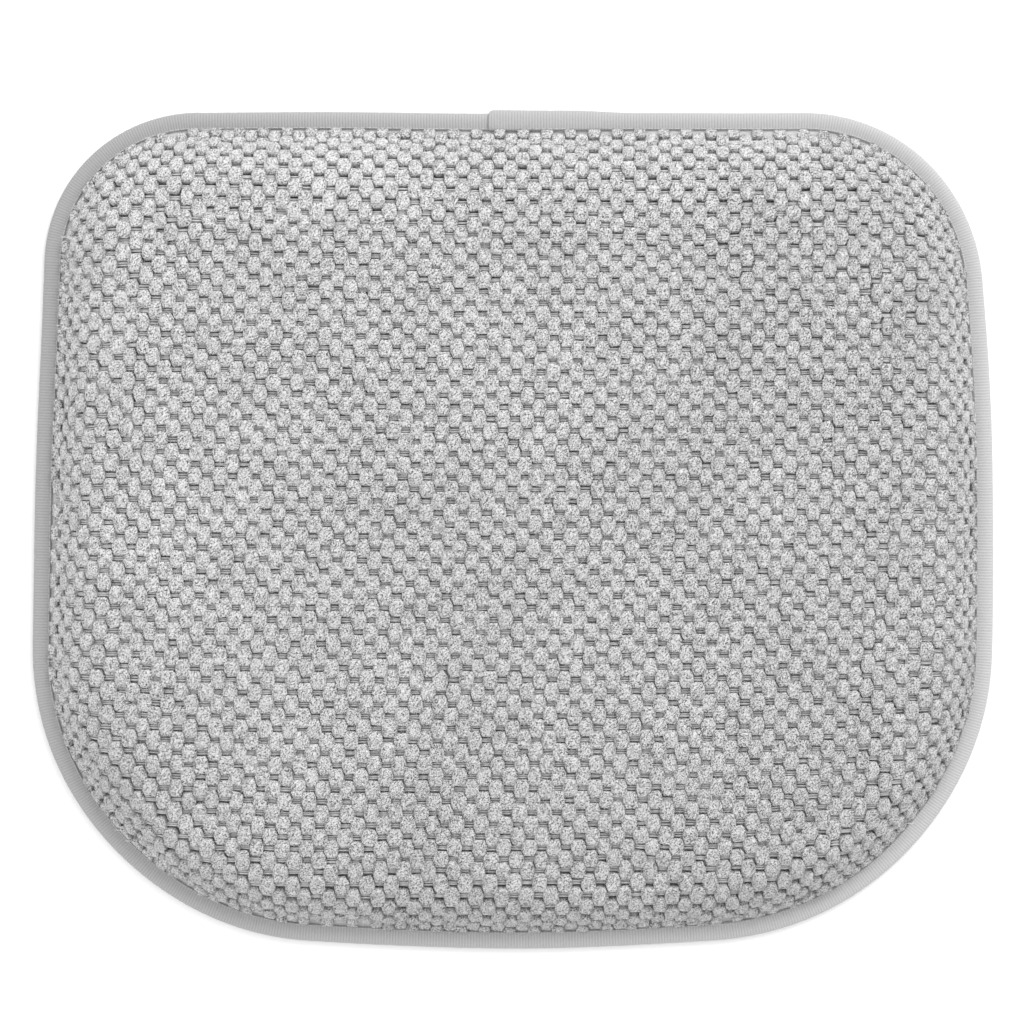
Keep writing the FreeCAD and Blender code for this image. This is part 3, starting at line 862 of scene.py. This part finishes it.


# Grosgrain: light ribs and darker grooves across the tape, one for each whole step of the map's
# first coordinate, broken up by yarn noise. The grooves' dark is painted shade, and painted light
# makes the tone grow towards +x and the front.
def ribbedCloth(nodes, links, shader):
    ribMap = addNode(nodes, "ShaderNodeUVMap", uv_map="cloth")
    place = addNode(nodes, "ShaderNodeTexCoord")
    ribs = addNode(nodes, "ShaderNodeTexWave", Scale=np.pi / 10, Distortion=0.8, Detail=1.0)
    yarn = addNode(nodes, "ShaderNodeTexNoise", Scale=1900.0, Detail=3.0, Roughness=0.65)
    mixed = addNode(nodes, "ShaderNodeMath", operation="MULTIPLY_ADD")
    mixed.inputs[1].default_value = tape["ribShade"]
    shade = addNode(nodes, "ShaderNodeValToRGB")
    for element, stop, grey in zip(shade.color_ramp.elements, tape["stops"], tape["greys"]):
        element.position, element.color = stop, (grey, grey, grey, 1.0)
    # Painted light: the tone slopes with x and y across the pad.
    sides = addNode(nodes, "ShaderNodeVectorMath", operation="DOT_PRODUCT")
    sides.inputs[1].default_value = (*tape["paintedLightTones"][1:], 0.0)
    toneAndPaintedLight = addNode(nodes, "ShaderNodeMath", operation="ADD")
    toneAndPaintedLight.inputs[1].default_value = tape["paintedLightTones"][0]
    tone = addNode(nodes, "ShaderNodeMix", data_type="RGBA", blend_type="MULTIPLY")
    tone.inputs[0].default_value = 1.0
    bump = addNode(nodes, "ShaderNodeBump", Strength=0.5, Distance=0.0002)
    links.new(place.outputs["Object"], sides.inputs[0])
    links.new(sides.outputs["Value"], toneAndPaintedLight.inputs[0])
    links.new(shade.outputs["Color"], tone.inputs[6])
    links.new(toneAndPaintedLight.outputs["Value"], tone.inputs[7])
    links.new(ribMap.outputs["UV"], ribs.inputs["Vector"])
    links.new(place.outputs["Object"], yarn.inputs["Vector"])
    links.new(ribs.outputs["Fac"], mixed.inputs[0])
    links.new(yarn.outputs["Fac"], mixed.inputs[2])
    links.new(mixed.outputs["Value"], shade.inputs["Fac"])
    links.new(tone.outputs[2], shader.inputs["Base Color"])
    links.new(mixed.outputs["Value"], bump.inputs["Height"])
    links.new(bump.outputs["Normal"], shader.inputs["Normal"])
    shader.inputs["Roughness"].default_value = 0.75
    shader.inputs["Specular IOR Level"].default_value = 0.25
    shader.inputs["Sheen Weight"].default_value = 0.1


tapeCloth = setNodes(bpy.data.materials.new("bindingTape"), ribbedCloth)
edgeTape = makeTape()
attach(edgeTape, "root")
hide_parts("edge_binding")
print("chair pad: tape made")


seam = {
    "inset": 7.25, "stitch": 3.0, "perStitch": 6, "radius": 0.2, "sides": 6,
    "dip": 0.45, "sunk": 0.6,    # rise within a stitch, and how much of it lies below the tape's face
    "round": 0.5,                # power of the rise: lower makes longer, squarer stitches
}


# A closed tube along the seam line. It rises over the tape in the middle of each stitch and dips
# into it between stitches, as the power of a rectified sine.
def makeThread(name, level, upwards):
    stitches = int(girth / (seam["stitch"] * mm))
    steps = stitches * seam["perStitch"]
    run = np.arange(steps) * girth / steps
    edge, inward = outlineAt(run)
    rise = np.abs(np.sin(np.pi * np.arange(steps) / seam["perStitch"])) ** seam["round"]
    lap = (run + girth / 2) % girth - girth / 2
    lapEnd = tape["lapStart"] + tape["lapLength"] + 1
    onLap = smoothStep((lap - (tape["lapStart"] - 1) * mm) / mm) * smoothStep((lapEnd * mm - lap) / mm)
    dip = rise * seam["dip"] - seam["dip"] * seam["sunk"]
    height = level + upwards * mm * (dip + onLap * tape["gauge"])
    height = np.maximum(height, seam["radius"] * mm)
    a = np.arange(seam["sides"]) * 2 * np.pi / seam["sides"]
    inset = seam["inset"] * mm + seam["radius"] * mm * np.cos(a)
    flat = edge[:, None] + inward[:, None] * inset[None, :, None]
    z = height[:, None] + seam["radius"] * mm * np.sin(a)[None]
    verts = np.concatenate([flat, z[..., None]], -1).reshape(-1, 3)
    quads = gridFaces(steps, seam["sides"], flip=True)
    k = np.arange(seam["sides"])
    n = (k + 1) % seam["sides"]
    close = np.stack([k, n, (steps - 1) * seam["sides"] + n, (steps - 1) * seam["sides"] + k], -1)
    piece = makePiece(name, verts, [np.concatenate([quads, close])], threadYarn)
    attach(piece, "root")
    return piece


threadYarn = setNodes(bpy.data.materials.new("sewingThread"),
                      plainCloth(colour=(0.58, 0.58, 0.58), low=0.8, scale=2500.0,
                                 stretch=(1.0, 1.0, 1.0), depth=0.0001, roughness=0.6))
needleThread = makeThread("needleThread", tapeHigh, 1.0)
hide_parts("needle_thread")
bobbinThread = makeThread("bobbinThread", tapeLow, -1.0)
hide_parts("bobbin_thread")
print("chair pad: seam sewn")


back = {"inset": 1.5, "rings": 40, "ripple": 0.12, "waves": (55, 31), "calm": 6, "clear": 0.15}


# Flat cloth: rings shrinking from the outline to the middle, above and below, joined round the
# edge, with a slight ripple on both faces.
def makeBacking():
    edge, inward = outlineAt(columnAt)
    rim = edge + inward * back["inset"] * mm
    share = np.linspace(1.0, 0.0, back["rings"] + 1)[:-1, None, None]
    flat = rim[None] * share
    phase = back["waves"][0] * flat[..., 0] + back["waves"][1] * flat[..., 1]
    ripple = back["ripple"] * mm * np.sin(phase) * (1 - share[..., 0] ** back["calm"])
    verts, half = [], back["rings"] * around + 1
    for level in (backing[0].z + back["clear"] * mm, backing[1].z - back["clear"] * mm):
        verts.append(np.concatenate([flat, (ripple + level)[..., None]], -1).reshape(-1, 3))
        verts.append([[0.0, 0.0, level]])
    upper = surfaceFaces(back["rings"], half - 1)
    under = [f[:, ::-1] for f in upper]
    upper = [f + half for f in upper]
    k = np.arange(around)
    n = np.roll(k, -1)
    strip = np.stack([k + half, n + half, n, k], -1)
    piece = makePiece("backingCloth", np.concatenate(verts),
                      [np.concatenate([under[0], upper[0], strip]),
                       np.concatenate([under[1], upper[1]])],
                      backingYarn)
    area = 0.5 * np.abs(np.sum(rim[:, 0] * np.roll(rim[:, 1], -1) - rim[:, 1] * np.roll(rim[:, 0], -1)))
    return piece, rim, area


backingYarn = setNodes(bpy.data.materials.new("backingCloth"),
                       plainCloth(colour=(0.46, 0.46, 0.46), low=0.75, scale=900.0,
                                  stretch=(1.0, 0.4, 1.0), depth=0.0002))
backingCloth, backRim, backArea = makeBacking()
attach(backingCloth, "root")
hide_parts("non_slip_backing")

gripLook = {"dark": (0.44, 0.44, 0.43, 1.0), "light": (0.62, 0.62, 0.60, 1.0)}
gripRubber = bpy.data.materials.new("gripRubber")


def rubberNodes(nodes, links, shader):
    place = addNode(nodes, "ShaderNodeTexCoord")
    grain = addNode(nodes, "ShaderNodeTexNoise", Scale=1800.0, Detail=2.0)
    cloud = addNode(nodes, "ShaderNodeTexNoise", Scale=60.0, Detail=1.0)
    shade = addNode(nodes, "ShaderNodeValToRGB")
    shade.color_ramp.elements[0].color = gripLook["dark"]
    shade.color_ramp.elements[1].color = gripLook["light"]
    bump = addNode(nodes, "ShaderNodeBump", Strength=0.25, Distance=0.0002)
    links.new(place.outputs["Object"], grain.inputs["Vector"])
    links.new(place.outputs["Object"], cloud.inputs["Vector"])
    links.new(cloud.outputs["Fac"], shade.inputs["Fac"])
    links.new(shade.outputs["Color"], shader.inputs["Base Color"])
    links.new(grain.outputs["Fac"], bump.inputs["Height"])
    links.new(bump.outputs["Normal"], shader.inputs["Normal"])
    shader.inputs["Roughness"].default_value = 0.5


setNodes(gripRubber, rubberNodes)
for slotIndex in range(len(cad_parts["grip_dots"].data.materials)):
    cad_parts["grip_dots"].data.materials[slotIndex] = gripRubber
print("chair pad: backing made")
